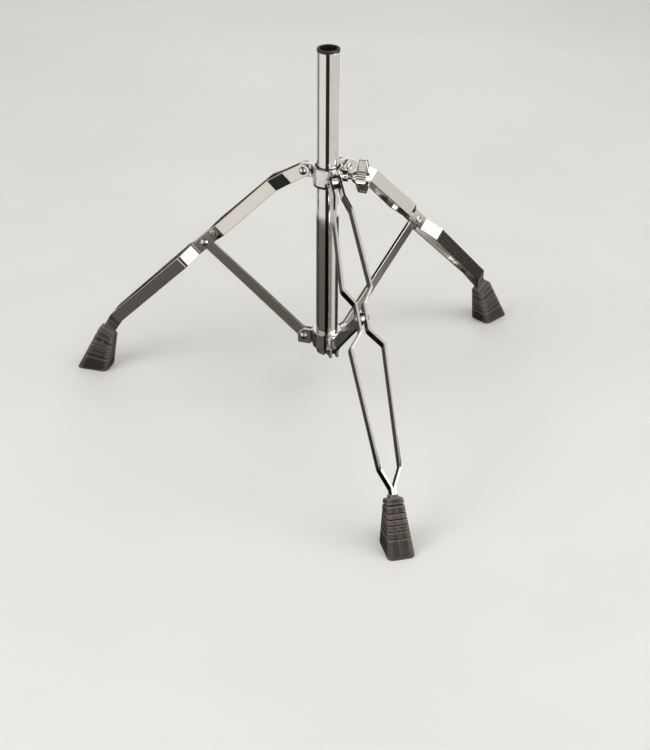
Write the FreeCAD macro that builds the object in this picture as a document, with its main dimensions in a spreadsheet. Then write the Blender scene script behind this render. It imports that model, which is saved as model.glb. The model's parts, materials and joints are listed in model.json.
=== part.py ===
import FreeCAD, Part
import math
import os
import re

import Sketcher

# Folding tripod base of a percussion stand.
#
# A chromed upright tube stands on three double-strap legs. Each leg hangs from a collar
# that slides on the tube, and a flat brace ties the middle of the leg to a collar fixed
# at the bottom of the tube, so that the three legs fold in together like an umbrella.
# A wing nut clamps the sliding collar. Brace and upper half of the leg have one length,
# which makes the collar travel straight along the tube.
#
# Frame: millimetres, +Z up, floor at Z = 0, origin under the middle of the footprint.
# The legs point along the azimuths in LEGS, so the tube stands behind the origin in Y.

LEGS = {"right": 30.0, "left": 150.0, "front": 270.0}
WING_AZIMUTH = 330.0
SET_SCREW_AZIMUTH = 90.0
SIDES = {"a": "", "b": "-"}

DIMENSIONS = [
    # upright tube with its end pieces
    ("tube_radius", 12.7), ("tube_wall", 1.6), ("tube_bottom", 78.0), ("tube_top", 440.0),
    ("plug_radius", 12.4), ("plug_bottom", 70.0), ("plug_inside", 92.0), ("plug_edge", 1.5),
    ("bushing_bore", 9.56), ("bushing_depth", 26.0), ("bushing_lip", 3.0),
    # linkage
    ("pivot_radius", 27.0), ("lower_pivot", 88.5), ("link_length", 160.5),
    ("brace_angle", 41.34), ("leg_slope", 45.0), ("toe_slope", 58.0),
    # sliding collar
    ("collar_radius", 17.0), ("collar_edge", 1.0), ("upper_drop", 13.0), ("upper_rise", 7.5),
    ("lug_width", 8.0), ("lug_half", 7.5), ("lug_round", 7.4),
    ("liner_radius", 14.5), ("liner_bore", 12.75), ("lip_radius", 16.2), ("lip_height", 2.7),
    ("boss_radius", 6.5), ("boss_reach", 24.0), ("boss_drop", 2.5), ("boss_hole", 4.1),
    # fixed collar
    ("lower_drop", 9.8), ("lower_rise", 11.0), ("ear_gap", 4.6), ("ear_thickness", 3.2),
    ("ear_reach", 7.2), ("ear_drop", 9.6), ("ear_rise", 9.0), ("ear_slant", 7.0),
    ("ear_round", 1.5), ("ear_root", 18.5), ("neck_reach", 20.1), ("neck_half", 8.0),
    ("neck_width", 8.0), ("set_screw_radius", 2.0),
    # leg straps, seen from the side
    ("strap_width", 15.0), ("strap_gauge", 2.5), ("strap_bend", 4.0), ("elbow_bend", 16.0),
    ("knee_run", 120.4), ("ankle_run", 164.0), ("toe_run", 31.0), ("toe_inside", 18.0),
    # half spread of a leg's two straps, and how far from the middle pivot each one bends
    ("seat_spread", 5.55), ("seat_run", 138.9), ("knee_spread", 10.0),
    ("bulge_spread", 15.8), ("bulge_run", 32.0), ("waist_spread", 4.4), ("waist_run", 15.0),
    ("splay_spread", 18.5), ("splay_run", 32.5), ("ankle_spread", 11.3),
    ("toe_spread", 1.35), ("toe_start", 185.5), ("strap_spare", 40.0),
    # braces, rivets and washers
    ("brace_width", 13.0), ("brace_round", 6.4), ("brace_gauge", 4.0), ("pivot_hole", 3.1),
    ("rivet_radius", 3.0), ("head_radius", 4.9), ("head_height", 3.0), ("clinch_radius", 4.2),
    ("clinch_height", 1.3), ("washer_radius", 5.6), ("washer_gauge", 0.85),
    ("toe_rivet_radius", 2.5), ("toe_rivet_depth", 8.0),
    # rubber feet
    ("foot_inner", 280.0), ("foot_outer", 320.0), ("foot_width", 30.0), ("foot_round", 6.0),
    ("foot_top_length", 22.0), ("foot_top_width", 18.0), ("foot_top_round", 4.0),
    # clamp
    ("shoe_radius", 3.9), ("shoe_start", 13.0), ("shoe_end", 17.5), ("screw_radius", 4.0),
    ("screw_start", 17.6), ("screw_end", 44.0), ("hub_start", 29.0), ("hub_end", 48.0),
    ("hub_radius", 7.0), ("hub_nose", 4.5), ("wing_span", 20.0), ("wing_gauge", 3.4),
    ("wing_base", 32.0), ("wing_tip", 46.5), ("wing_neck", 11.0), ("wing_round", 4.0),
]

SIZES = dict(DIMENSIONS)
UPPER_PIVOT = "(lower_pivot + 2 * link_length * sin(brace_angle))"
MID_RADIUS = "(pivot_radius + link_length * cos(brace_angle))"
MID_HEIGHT = "(lower_pivot + link_length * sin(brace_angle))"
BOSS_HEIGHT = "(" + UPPER_PIVOT + " - boss_drop)"

doc = FreeCAD.newDocument("folding_tripod_base")
pieces = []


# ---------------------------------------------------------------- driving dimensions

def fill_sheet():
    sheet = doc.addObject("Spreadsheet::Sheet", "Sizes")
    for row, (alias, number) in enumerate(DIMENSIONS, start=1):
        sheet.set("A%d" % row, alias)
        sheet.set("B%d" % row, str(number))
        sheet.setAlias("B%d" % row, alias)
    doc.recompute()
    return sheet


def size(alias):
    """The sheet's present value of one driving dimension."""
    return float(sizes_sheet.get(alias))


def bind(thing, prop, text):
    """Bind a property to an expression written with the sheet's aliases."""
    full = re.sub(r"[a-z_]+", lambda m: "Sizes." * (m.group() in SIZES) + m.group(), text)
    thing.setExpression(prop, full)


# ---------------------------------------------------------------- places

def pivot_place(name):
    """Radius and height of a leg's pivot: lower, mid or upper."""
    rise = size("link_length") * math.sin(math.radians(size("brace_angle")))
    run = size("link_length") * math.cos(math.radians(size("brace_angle")))
    steps = {"lower": 0, "mid": 1, "upper": 2}[name]
    radius = size("pivot_radius") + (run if name == "mid" else 0.0)
    return radius, size("lower_pivot") + steps * rise


def stand(azimuth, radius=0.0, height=0.0, turn=None):
    """A place on the ray that leaves the tube's axis along an azimuth.

    The tube stands where the front foot's outer edge and the rounded outer corners of the
    two rear feet are equally far from the origin.
    """
    rear = math.radians(LEGS["right"])
    corner = size("foot_round")
    back = ((size("foot_outer") - corner) * math.sin(rear)
            + (size("foot_width") / 2 - corner) * math.cos(rear) + corner)
    tube = FreeCAD.Placement(FreeCAD.Vector(0, (size("foot_outer") - back) / 2, 0),
                             FreeCAD.Rotation(FreeCAD.Vector(0, 0, 1), azimuth))
    out = FreeCAD.Placement(FreeCAD.Vector(radius, 0, height), turn or FreeCAD.Rotation())
    return tube.multiply(out)


SIDEWAYS = FreeCAD.Rotation(FreeCAD.Vector(1, 0, 0), -90)
OUTWARD = FreeCAD.Rotation(FreeCAD.Vector(0, 1, 0), 90)
UPRIGHT = FreeCAD.Rotation(FreeCAD.Vector(1, 0, 0), 90)


# ---------------------------------------------------------------- sketches

def draw(sketch, points, closed, rounds):
    """Straight lines through points given as expressions, with rounded corners.

    rounds maps a corner's number to the alias of its radius.
    """
    count = len(points)
    lines = count if closed else count - 1
    spots = [FreeCAD.Vector(50 * math.cos(6.28 * i / count), 50 * math.sin(6.28 * i / count), 0)
             for i in range(count)]
    for i in range(lines):
        sketch.addGeometry(Part.LineSegment(spots[i], spots[(i + 1) % count]), False)
    for i in range(lines if closed else lines - 1):
        sketch.addConstraint(Sketcher.Constraint("Coincident", i, 2, (i + 1) % lines, 1))
    for i, (across, up) in enumerate(points):
        line, end = (i, 1) if i < lines else (lines - 1, 2)
        for kind, start, text in (("DistanceX", spots[i].x, across), ("DistanceY", spots[i].y, up)):
            number = sketch.addConstraint(Sketcher.Constraint(kind, line, end, start))
            bind(sketch, "Constraints[%d]" % number, text)
    doc.recompute()
    for corner, alias in (rounds or {}).items():
        sketch.fillet((corner - 1) % lines, 2, size(alias), True, True, False)
        arc = len(sketch.Geometry) - 2
        number = sketch.addConstraint(Sketcher.Constraint("Radius", arc, size(alias)))
        bind(sketch, "Constraints[%d]" % number, alias)
    doc.recompute()
    return sketch


def circle(sketch, across, up, radius):
    """One circle whose centre and radius are expressions."""
    ring = sketch.addGeometry(Part.Circle(FreeCAD.Vector(1, 1, 0), FreeCAD.Vector(0, 0, 1), 1), False)
    for kind, text in (("DistanceX", across), ("DistanceY", up)):
        number = sketch.addConstraint(Sketcher.Constraint(kind, ring, 3, 1.0))
        bind(sketch, "Constraints[%d]" % number, text)
    number = sketch.addConstraint(Sketcher.Constraint("Radius", ring, 1.0))
    bind(sketch, "Constraints[%d]" % number, radius)
    doc.recompute()
    return sketch


def free_sketch(name, place, points, closed=False, rounds=None):
    """A sketch outside any body, on a plane given by a placement."""
    sketch = doc.addObject("Sketcher::SketchObject", name)
    sketch.Placement = place
    return draw(sketch, points, closed, rounds)


def body_sketch(body, name, role):
    """An empty sketch on one of a body's own origin planes."""
    sketch = body.newObject("Sketcher::SketchObject", name)
    base = [f for f in body.Origin.OriginFeatures if f.Role == role][0]
    sketch.AttachmentSupport = [(base, "")]
    sketch.MapMode = "FlatFace"
    return sketch


# ---------------------------------------------------------------- features

def new_piece(kind, label, place=None):
    """A document object that is one sub-part."""
    piece = doc.addObject(kind, label)
    piece.Label = label
    piece.Placement = place or stand(0)
    pieces.append(piece)
    return piece


def turned(body, profile, rounds=None):
    """A solid of revolution about the body's Z axis; profile is radius and height."""
    sketch = draw(body_sketch(body, "profile", "XZ_Plane"), profile, True, rounds)
    spin = body.newObject("PartDesign::Revolution", "turning")
    spin.Profile = sketch
    spin.ReferenceAxis = (sketch, ["V_Axis"])
    spin.Angle = 360
    doc.recompute()
    return spin


def pad(body, sketch, length, both_ways=True):
    """A pad whose length is an expression."""
    block = body.newObject("PartDesign::Pad", "pad")
    block.Profile = sketch
    block.SideType = "Symmetric" if both_ways else "One side"
    bind(block, "Length", length)
    doc.recompute()
    return block


def pocket(body, sketch, length, both_ways=True):
    """A pocket, which must take something away; one way means along the sketch's normal."""
    before = body.Shape.Volume
    hollow = body.newObject("PartDesign::Pocket", "pocket")
    hollow.Profile = sketch
    hollow.SideType = "Symmetric" if both_ways else "One side"
    hollow.Reversed = not both_ways
    bind(hollow, "Length", length)
    doc.recompute()
    if not body.Shape.Volume < before - 1.0:
        raise ValueError("a pocket of " + body.Label + " cuts nothing")
    return hollow


def polar(body, originals, count):
    """Repeat features about the body's Z axis."""
    pattern = body.newObject("PartDesign::PolarPattern", "around")
    pattern.Originals = originals
    pattern.Axis = ([f for f in body.Origin.OriginFeatures if f.Role == "Z_Axis"][0], [""])
    pattern.Angle = 360
    pattern.Occurrences = count
    body.Tip = pattern
    doc.recompute()
    return pattern


def bar(name, path, width, thickness):
    """A flat bar: a path thickened to a width in its plane and extruded both ways."""
    band = doc.addObject("Part::Offset2D", name + "_band")
    band.Source = path
    band.Mode = "Pipe"
    band.Join = "Arc"
    band.Fill = True
    bind(band, "Value", width + " / 2")
    solid = doc.addObject("Part::Extrusion", name)
    solid.Base = band
    solid.DirMode = "Normal"
    solid.Solid = True
    solid.Symmetric = True
    bind(solid, "LengthFwd", thickness)
    doc.recompute()
    return solid


def pin_tool(name, spot, radius, length):
    """A cylinder across the leg at a radius and height, to drill with or to keep."""
    pin = doc.addObject("Part::Cylinder", name)
    bind(pin, "Radius", radius)
    bind(pin, "Height", length)
    doc.recompute()
    reach = float(pin.Height)
    pin.Placement = FreeCAD.Placement(FreeCAD.Vector(spot[0], -reach / 2, spot[1]), SIDEWAYS)
    return pin


def cut(target, base, tools):
    """Take tools away from a base; target is the empty Part::Cut."""
    joined = tools[0]
    if len(tools) > 1:
        joined = doc.addObject("Part::MultiFuse", "tools")
        joined.Shapes = tools
    target.Base = base
    target.Tool = joined
    doc.recompute()
    return target


# ---------------------------------------------------------------- upright tube

def make_base_tube():
    """Round steel tube that everything hangs on."""
    body = new_piece("PartDesign::Body", "base_tube")
    inner = "tube_radius - tube_wall"
    turned(body, [(inner, "tube_bottom"), ("tube_radius", "tube_bottom"),
                  ("tube_radius", "tube_top"), (inner, "tube_top")])


def make_tube_end_plug():
    """Plug pressed into the tube's lower end, with a stub that hangs below it."""
    body = new_piece("PartDesign::Body", "tube_end_plug")
    inner = "tube_radius - tube_wall"
    turned(body, [("0", "plug_bottom"), ("plug_radius", "plug_bottom"),
                  ("plug_radius", "tube_bottom"), (inner, "tube_bottom"),
                  (inner, "plug_inside"), ("0", "plug_inside")], {1: "plug_edge"})


def make_tube_top_bushing():
    """Nylon bushing in the tube's upper end, bored for the next tube."""
    body = new_piece("PartDesign::Body", "tube_top_bushing")
    inner = "tube_radius - tube_wall"
    top = "tube_top + bushing_lip"
    foot = "tube_top - bushing_depth"
    turned(body, [("bushing_bore", foot), (inner, foot), (inner, "tube_top"),
                  ("tube_radius", "tube_top"), ("tube_radius", top), ("bushing_bore", top)])


# ---------------------------------------------------------------- collars

def collar_disc(body, low, high):
    """The turned blank of a collar, still without its bore."""
    slim = "collar_radius - collar_edge"
    turned(body, [("0", low), (slim, low), ("collar_radius", low + " + collar_edge"),
                  ("collar_radius", high + " - collar_edge"), (slim, high), ("0", high)])


def bore(body, radius):
    """Bore a collar through along Z."""
    hole = circle(body_sketch(body, "bore", "XY_Plane"), "0", "0", radius)
    pocket(body, hole, "3 * tube_top")


def make_upper_collar():
    """Sliding collar: three lugs for the legs, and a boss for the clamp screw along +X."""
    body = new_piece("PartDesign::Body", "upper_collar", stand(WING_AZIMUTH))
    collar_disc(body, UPPER_PIVOT + " - upper_drop", UPPER_PIVOT + " + upper_rise")
    outline = [("-liner_radius", UPPER_PIVOT + " - lug_half"),
               ("-(pivot_radius + lug_half)", UPPER_PIVOT + " - lug_half"),
               ("-(pivot_radius + lug_half)", UPPER_PIVOT + " + lug_half"),
               ("-liner_radius", UPPER_PIVOT + " + lug_half")]
    sketch = draw(body_sketch(body, "lug", "XZ_Plane"), outline, True, {1: "lug_round", 2: "lug_round"})
    lug = pad(body, sketch, "lug_width")
    hole = circle(body_sketch(body, "pivot", "XZ_Plane"), "-pivot_radius", UPPER_PIVOT, "pivot_hole")
    eye = pocket(body, hole, "2 * lug_width")
    polar(body, [lug, eye], 3)
    boss = circle(body_sketch(body, "boss", "YZ_Plane"), "0", BOSS_HEIGHT, "boss_radius")
    pad(body, boss, "boss_reach", both_ways=False)
    bore(body, "liner_radius")
    screw = circle(body_sketch(body, "screw", "YZ_Plane"), "0", BOSS_HEIGHT, "boss_hole")
    pocket(body, screw, "2 * boss_reach", both_ways=False)


def make_collar_liner():
    """Nylon sleeve between collar and tube, with a lip under the collar."""
    body = new_piece("PartDesign::Body", "collar_liner", stand(WING_AZIMUTH))
    under = UPPER_PIVOT + " - upper_drop"
    lip = under + " - lip_height"
    top = UPPER_PIVOT + " + upper_rise"
    turned(body, [("liner_bore", lip), ("lip_radius", lip), ("lip_radius", under),
                  ("liner_radius", under), ("liner_radius", top), ("liner_bore", top)])
    hole = circle(body_sketch(body, "window", "YZ_Plane"), "0", BOSS_HEIGHT, "boss_hole")
    pocket(body, hole, "boss_reach", both_ways=False)


def make_lower_collar():
    """Fixed collar: three pairs of ears for the braces, and a set screw along +X."""
    body = new_piece("PartDesign::Body", "lower_collar", stand(SET_SCREW_AZIMUTH))
    collar_disc(body, "lower_pivot - lower_drop", "lower_pivot + lower_rise")
    neck = [("-liner_bore", "lower_pivot - neck_half"), ("-neck_reach", "lower_pivot - neck_half"),
            ("-neck_reach", "lower_pivot + neck_half"), ("-liner_bore", "lower_pivot + neck_half")]
    tip = "-(pivot_radius + ear_reach)"
    outline = [("-ear_root", "lower_pivot - ear_drop"), (tip, "lower_pivot - ear_drop"),
               (tip, "lower_pivot + ear_rise - ear_slant"),
               (tip + " + ear_slant", "lower_pivot + ear_rise"),
               ("-ear_root", "lower_pivot + ear_rise")]
    ears = [pad(body, draw(body_sketch(body, "neck", "XZ_Plane"), neck, True, None), "neck_width")]
    for side in SIDES.values():
        sketch = body_sketch(body, "ear", "XZ_Plane")
        bind(sketch, ".AttachmentOffset.Base.z", side + "(ear_gap + ear_thickness) / 2")
        draw(sketch, outline, True, {1: "ear_round", 2: "ear_round", 3: "ear_round"})
        ears.append(pad(body, sketch, "ear_thickness"))
    hole = circle(body_sketch(body, "pivot", "XZ_Plane"), "-pivot_radius", "lower_pivot", "rivet_radius")
    ears.append(pocket(body, hole, "3 * (ear_gap + ear_thickness)"))
    polar(body, ears, 3)
    bore(body, "tube_radius")
    screw = circle(body_sketch(body, "screw", "YZ_Plane"), "0", "lower_pivot", "set_screw_radius")
    pocket(body, screw, "2 * collar_radius", both_ways=False)


def make_lower_collar_screw():
    """Headless screw that fixes the lower collar to the tube."""
    place = stand(SET_SCREW_AZIMUTH, 0, size("lower_pivot"), OUTWARD)
    body = new_piece("PartDesign::Body", "lower_collar_screw", place)
    turned(body, [("0", "tube_radius"), ("set_screw_radius", "tube_radius"),
                  ("set_screw_radius", "collar_radius"), ("0", "collar_radius")])


# ---------------------------------------------------------------- clamp

def make_clamp_shoe():
    """Pad at the tip of the clamp screw, which presses on the tube."""
    place = stand(WING_AZIMUTH, 0, pivot_place("upper")[1] - size("boss_drop"), OUTWARD)
    body = new_piece("PartDesign::Body", "clamp_shoe", place)
    turned(body, [("0", "shoe_start"), ("shoe_radius", "shoe_start"),
                  ("shoe_radius", "shoe_end"), ("0", "shoe_end")])


def make_clamp_screw():
    """Threaded rod cast into the wing nut."""
    place = stand(WING_AZIMUTH, 0, pivot_place("upper")[1] - size("boss_drop"), OUTWARD)
    body = new_piece("PartDesign::Body", "clamp_screw", place)
    turned(body, [("0", "screw_start"), ("screw_radius", "screw_start"),
                  ("screw_radius", "screw_end"), ("0", "screw_end")])


def make_wing_nut():
    """Cast wing nut: a tapered hub with two flat wings."""
    place = stand(WING_AZIMUTH, 0, pivot_place("upper")[1] - size("boss_drop"), OUTWARD)
    body = new_piece("PartDesign::Body", "wing_nut", place)
    turned(body, [("screw_radius", "hub_start"), ("hub_radius", "hub_start"),
                  ("hub_nose", "hub_end"), ("0", "hub_end"), ("0", "screw_end"),
                  ("screw_radius", "screw_end")])
    outline = [("screw_radius + 1", "wing_base"), ("wing_neck", "wing_base"),
               ("wing_span", "(wing_base + wing_tip) / 2 - wing_round"),
               ("wing_span", "wing_tip"), ("screw_radius + 1", "wing_tip")]
    sketch = draw(body_sketch(body, "wing", "XZ_Plane"), outline, True, {2: "wing_round", 3: "wing_round"})
    wing = pad(body, sketch, "wing_gauge")
    polar(body, [wing], 2)


# ---------------------------------------------------------------- legs

def leg_path(name, first, last):
    """A leg's centre line seen from the side: outward to the right, up upwards."""
    knee = (MID_RADIUS + " - knee_run * cos(leg_slope)", MID_HEIGHT + " + knee_run * sin(leg_slope)")
    ankle = (MID_RADIUS + " + ankle_run * cos(leg_slope)", MID_HEIGHT + " - ankle_run * sin(leg_slope)")
    toe = (ankle[0] + " + (toe_run + toe_inside) * cos(toe_slope)",
           ankle[1] + " - (toe_run + toe_inside) * sin(toe_slope)")
    points = [("pivot_radius", UPPER_PIVOT), knee, ankle, toe][first:last]
    rounds = {i: "elbow_bend" for i in range(1, len(points) - 1)}
    return free_sketch(name, FreeCAD.Placement(FreeCAD.Vector(), UPRIGHT), points, False, rounds)


def spread_path(name, side):
    """A strap's run in plan, in the plane of the leg's slope, from the middle pivot.

    The pair is close at the collar, bows out, pinches in to the brace's rivet, splays
    wide below it and comes together again in the foot.
    """
    stations = [("-seat_run - strap_spare", "seat_spread"), ("-seat_run", "seat_spread"),
                ("-knee_run", "knee_spread"), ("-bulge_run", "bulge_spread"),
                ("-waist_run", "waist_spread"), ("waist_run", "waist_spread"),
                ("splay_run", "splay_spread"), ("ankle_run", "ankle_spread"),
                ("toe_start", "toe_spread"), ("toe_start + strap_spare", "toe_spread")]
    points = [(along, side + spread) for along, spread in stations]
    radius, height = pivot_place("mid")
    slope = FreeCAD.Rotation(FreeCAD.Vector(0, 1, 0), size("leg_slope"))
    place = FreeCAD.Placement(FreeCAD.Vector(radius, 0, height), slope)
    rounds = {i: "strap_bend" for i in range(1, len(points) - 1)}
    return free_sketch(name, place, points, False, rounds)


def toe_spot():
    """Radius and height of the rivet that joins the two straps inside the foot."""
    slope = math.radians(size("leg_slope"))
    toe = math.radians(size("toe_slope"))
    radius, height = pivot_place("mid")
    run = size("toe_run") + size("toe_rivet_depth")
    return (radius + size("ankle_run") * math.cos(slope) + run * math.cos(toe),
            height - size("ankle_run") * math.sin(slope) - run * math.sin(toe))


def make_straps():
    """The three legs' pairs of straps, each the common solid of its two views."""
    side_view = bar("leg_side_view", leg_path("leg_path", 0, 4), "strap_width", "3 * splay_spread")
    drills = [pin_tool("upper_drill", pivot_place("upper"), "rivet_radius", "3 * splay_spread"),
              pin_tool("mid_drill", pivot_place("mid"), "rivet_radius", "3 * splay_spread"),
              pin_tool("toe_drill", toe_spot(), "toe_rivet_radius", "3 * splay_spread")]
    drilled = cut(doc.addObject("Part::Cut", "leg_drilled"), side_view, drills)
    for side, sign in SIDES.items():
        plan = bar("leg_plan_" + side, spread_path("spread_" + side, sign), "strap_gauge", "strap_width * 6")
        for leg, azimuth in LEGS.items():
            strap = new_piece("Part::Common", leg + "_strap_" + side, stand(azimuth))
            strap.Base = drilled
            strap.Tool = plan
    doc.recompute()


def make_braces():
    """Flat bars from the fixed collar's ears to the legs' middle pivots."""
    low, high = "-brace_width / 2", "brace_width / 2"
    far = "link_length + brace_width / 2"
    turn = UPRIGHT.multiply(FreeCAD.Rotation(FreeCAD.Vector(0, 0, 1), size("brace_angle")))
    radius, height = pivot_place("lower")
    place = FreeCAD.Placement(FreeCAD.Vector(radius, 0, height), turn)
    outline = free_sketch("brace_outline", place, [(low, low), (far, low), (far, high), (low, high)],
                          True, {i: "brace_round" for i in range(4)})
    blank = doc.addObject("Part::Extrusion", "brace_blank")
    blank.Base = outline
    blank.DirMode = "Normal"
    blank.Solid = True
    blank.Symmetric = True
    bind(blank, "LengthFwd", "brace_gauge")
    drills = [pin_tool("brace_drill", pivot_place(end), "pivot_hole", "3 * brace_gauge")
              for end in ("lower", "mid")]
    for leg, azimuth in LEGS.items():
        cut(new_piece("Part::Cut", leg + "_brace", stand(azimuth)), blank, drills)


def make_rivet(label, azimuth, spot, grip):
    """Rivet across a leg: shank, domed head on one side, clinched end on the other."""
    rivet = new_piece("Part::MultiFuse", label, stand(azimuth, spot[0], spot[1], SIDEWAYS))
    shank = doc.addObject("Part::Cylinder", "shank")
    bind(shank, "Radius", "rivet_radius")
    bind(shank, "Height", grip)
    bind(shank, ".Placement.Base.z", "-(" + grip + ") / 2")
    ball = "((head_radius ^ 2 + head_height ^ 2) / (2 * head_height))"
    head = doc.addObject("Part::Sphere", "head")
    bind(head, "Radius", ball)
    bind(head, "Angle1", "asin(1 - head_height / " + ball + ")")
    bind(head, ".Placement.Base.z", "(" + grip + ") / 2 + head_height - " + ball)
    clinch = doc.addObject("Part::Cone", "clinch")
    bind(clinch, "Radius1", "rivet_radius")
    bind(clinch, "Radius2", "clinch_radius")
    bind(clinch, "Height", "clinch_height")
    bind(clinch, ".Placement.Base.z", "-(" + grip + ") / 2 - clinch_height")
    rivet.Shapes = [shank, head, clinch]
    doc.recompute()


def make_leg_hardware(leg, azimuth):
    """The rivets and washers of one leg."""
    make_rivet(leg + "_upper_rivet", azimuth, pivot_place("upper"), "2 * seat_spread + strap_gauge")
    make_rivet(leg + "_mid_rivet", azimuth, pivot_place("mid"), "2 * waist_spread + strap_gauge")
    make_rivet(leg + "_lower_rivet", azimuth, pivot_place("lower"), "ear_gap + 2 * ear_thickness")
    place = stand(azimuth, *toe_spot(), SIDEWAYS)
    toe = new_piece("PartDesign::Body", leg + "_toe_rivet", place)
    end = "(toe_spread + strap_gauge / 2)"
    turned(toe, [("0", "-" + end), ("toe_rivet_radius", "-" + end),
                 ("toe_rivet_radius", end), ("0", end)])
    rings = []
    for sign in SIDES.values():
        ring = doc.addObject("Part::Cut", "washer")
        disc = doc.addObject("Part::Cylinder", "disc")
        bind(disc, "Radius", "washer_radius")
        hole = doc.addObject("Part::Cylinder", "eye")
        bind(hole, "Radius", "rivet_radius")
        middle = sign + "(waist_spread - strap_gauge / 2 - washer_gauge / 2) - washer_gauge / 2"
        for round_solid in (disc, hole):
            bind(round_solid, "Height", "washer_gauge")
            bind(round_solid, ".Placement.Base.z", middle)
        rings.append(cut(ring, disc, [hole]))
    pair = new_piece("Part::Compound", leg + "_mid_washers",
                     stand(azimuth, *pivot_place("mid"), SIDEWAYS))
    pair.Links = rings
    doc.recompute()


def foot_end(name, place, half_length, half_width, corner):
    """One end of the foot's loft: a rectangle with rounded corners."""
    points = [("-" + half_length, "-" + half_width), (half_length, "-" + half_width),
              (half_length, half_width), ("-" + half_length, half_width)]
    return free_sketch(name, place, points, True, {i: corner for i in range(4)})


def make_feet():
    """Moulded rubber feet: a block lofted from the floor to the strap, with its socket."""
    middle = (size("foot_inner") + size("foot_outer")) / 2
    floor = FreeCAD.Placement(FreeCAD.Vector(middle, 0, 0), FreeCAD.Rotation())
    sole = foot_end("foot_sole", floor, "(foot_outer - foot_inner) / 2", "foot_width / 2", "foot_round")
    slope = math.radians(size("leg_slope"))
    toe = math.radians(size("toe_slope"))
    radius, height = pivot_place("mid")
    top = FreeCAD.Vector(
        radius + size("ankle_run") * math.cos(slope) + size("toe_run") * math.cos(toe), 0,
        height - size("ankle_run") * math.sin(slope) - size("toe_run") * math.sin(toe))
    tilt = FreeCAD.Rotation(FreeCAD.Vector(0, 1, 0), size("toe_slope") - 90)
    crown = foot_end("foot_crown", FreeCAD.Placement(top, tilt),
                     "foot_top_length / 2", "foot_top_width / 2", "foot_top_round")
    block = doc.addObject("Part::Loft", "foot_block")
    block.Sections = [sole, crown]
    block.Solid = True
    block.Ruled = True
    socket = bar("foot_socket", leg_path("socket_path", 0, 4), "strap_width",
                 "2 * toe_spread + strap_gauge")
    for leg, azimuth in LEGS.items():
        cut(new_piece("Part::Cut", leg + "_foot", stand(azimuth)), block, [socket])


# ---------------------------------------------------------------- checks and files

def check_all():
    """Every object is up to date, and every sub-part is one or more valid solids."""
    for thing in doc.Objects:
        if "Invalid" in thing.State or "Error" in thing.State:
            raise ValueError(thing.Name + " failed: " + ", ".join(thing.State))
    for piece in pieces:
        if piece.Shape.isNull() or not piece.Shape.isValid() or not piece.Shape.Solids:
            raise ValueError(piece.Label + " has no valid solid")


def write_all():
    """One STEP file per sub-part."""
    os.makedirs("parts", exist_ok=True)
    for piece in pieces:
        piece.Shape.exportStep("parts/" + piece.Label + ".step")
        box = piece.Shape.BoundBox
        print("%-20s %d solid, %8.1f mm3, z %.1f to %.1f"
              % (piece.Label, len(piece.Shape.Solids), piece.Shape.Volume, box.ZMin, box.ZMax))


sizes_sheet = fill_sheet()
make_base_tube()
make_tube_end_plug()
make_tube_top_bushing()
make_upper_collar()
make_collar_liner()
make_lower_collar()
make_lower_collar_screw()
make_clamp_shoe()
make_clamp_screw()
make_wing_nut()
make_straps()
make_braces()
for leg_name, leg_azimuth in LEGS.items():
    make_leg_hardware(leg_name, leg_azimuth)
make_feet()
doc.recompute()
check_all()
write_all()
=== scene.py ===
import json
import math

import bmesh
import bpy
import numpy as np
from mathutils import Matrix, Vector


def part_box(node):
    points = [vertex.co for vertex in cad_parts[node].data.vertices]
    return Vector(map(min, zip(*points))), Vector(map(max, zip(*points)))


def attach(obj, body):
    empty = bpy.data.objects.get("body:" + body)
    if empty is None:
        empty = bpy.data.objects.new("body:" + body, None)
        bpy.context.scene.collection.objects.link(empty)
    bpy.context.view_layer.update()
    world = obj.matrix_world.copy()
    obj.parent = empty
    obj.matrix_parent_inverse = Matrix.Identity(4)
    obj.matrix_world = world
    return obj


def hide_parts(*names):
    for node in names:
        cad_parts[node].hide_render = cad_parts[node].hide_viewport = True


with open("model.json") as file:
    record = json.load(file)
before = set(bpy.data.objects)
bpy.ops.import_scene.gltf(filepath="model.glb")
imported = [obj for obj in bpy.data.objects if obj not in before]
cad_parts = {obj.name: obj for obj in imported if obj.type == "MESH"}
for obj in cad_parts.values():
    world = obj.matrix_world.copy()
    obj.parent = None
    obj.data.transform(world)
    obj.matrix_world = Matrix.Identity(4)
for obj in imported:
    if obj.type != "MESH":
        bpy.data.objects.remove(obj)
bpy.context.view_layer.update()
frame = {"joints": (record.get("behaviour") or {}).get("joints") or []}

# ------------------------------------------------------------------ base tube
# The upright that everything hangs on: welded steel tube, cut square, deburred,
# polished and chrome plated. It is pressed into the fixed collar at its lower end.

MM = 0.001


def box_mm(solid):
    """Low and high corner of a plain solid's box, in millimetres."""
    return [np.array(corner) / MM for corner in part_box(solid)]


tube_low, tube_high = box_mm("base_tube")
axis_x, axis_y = (tube_low + tube_high)[:2] / 2
tube_radius = (tube_high - tube_low)[0] / 2
tube_wall = 1.6


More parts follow.
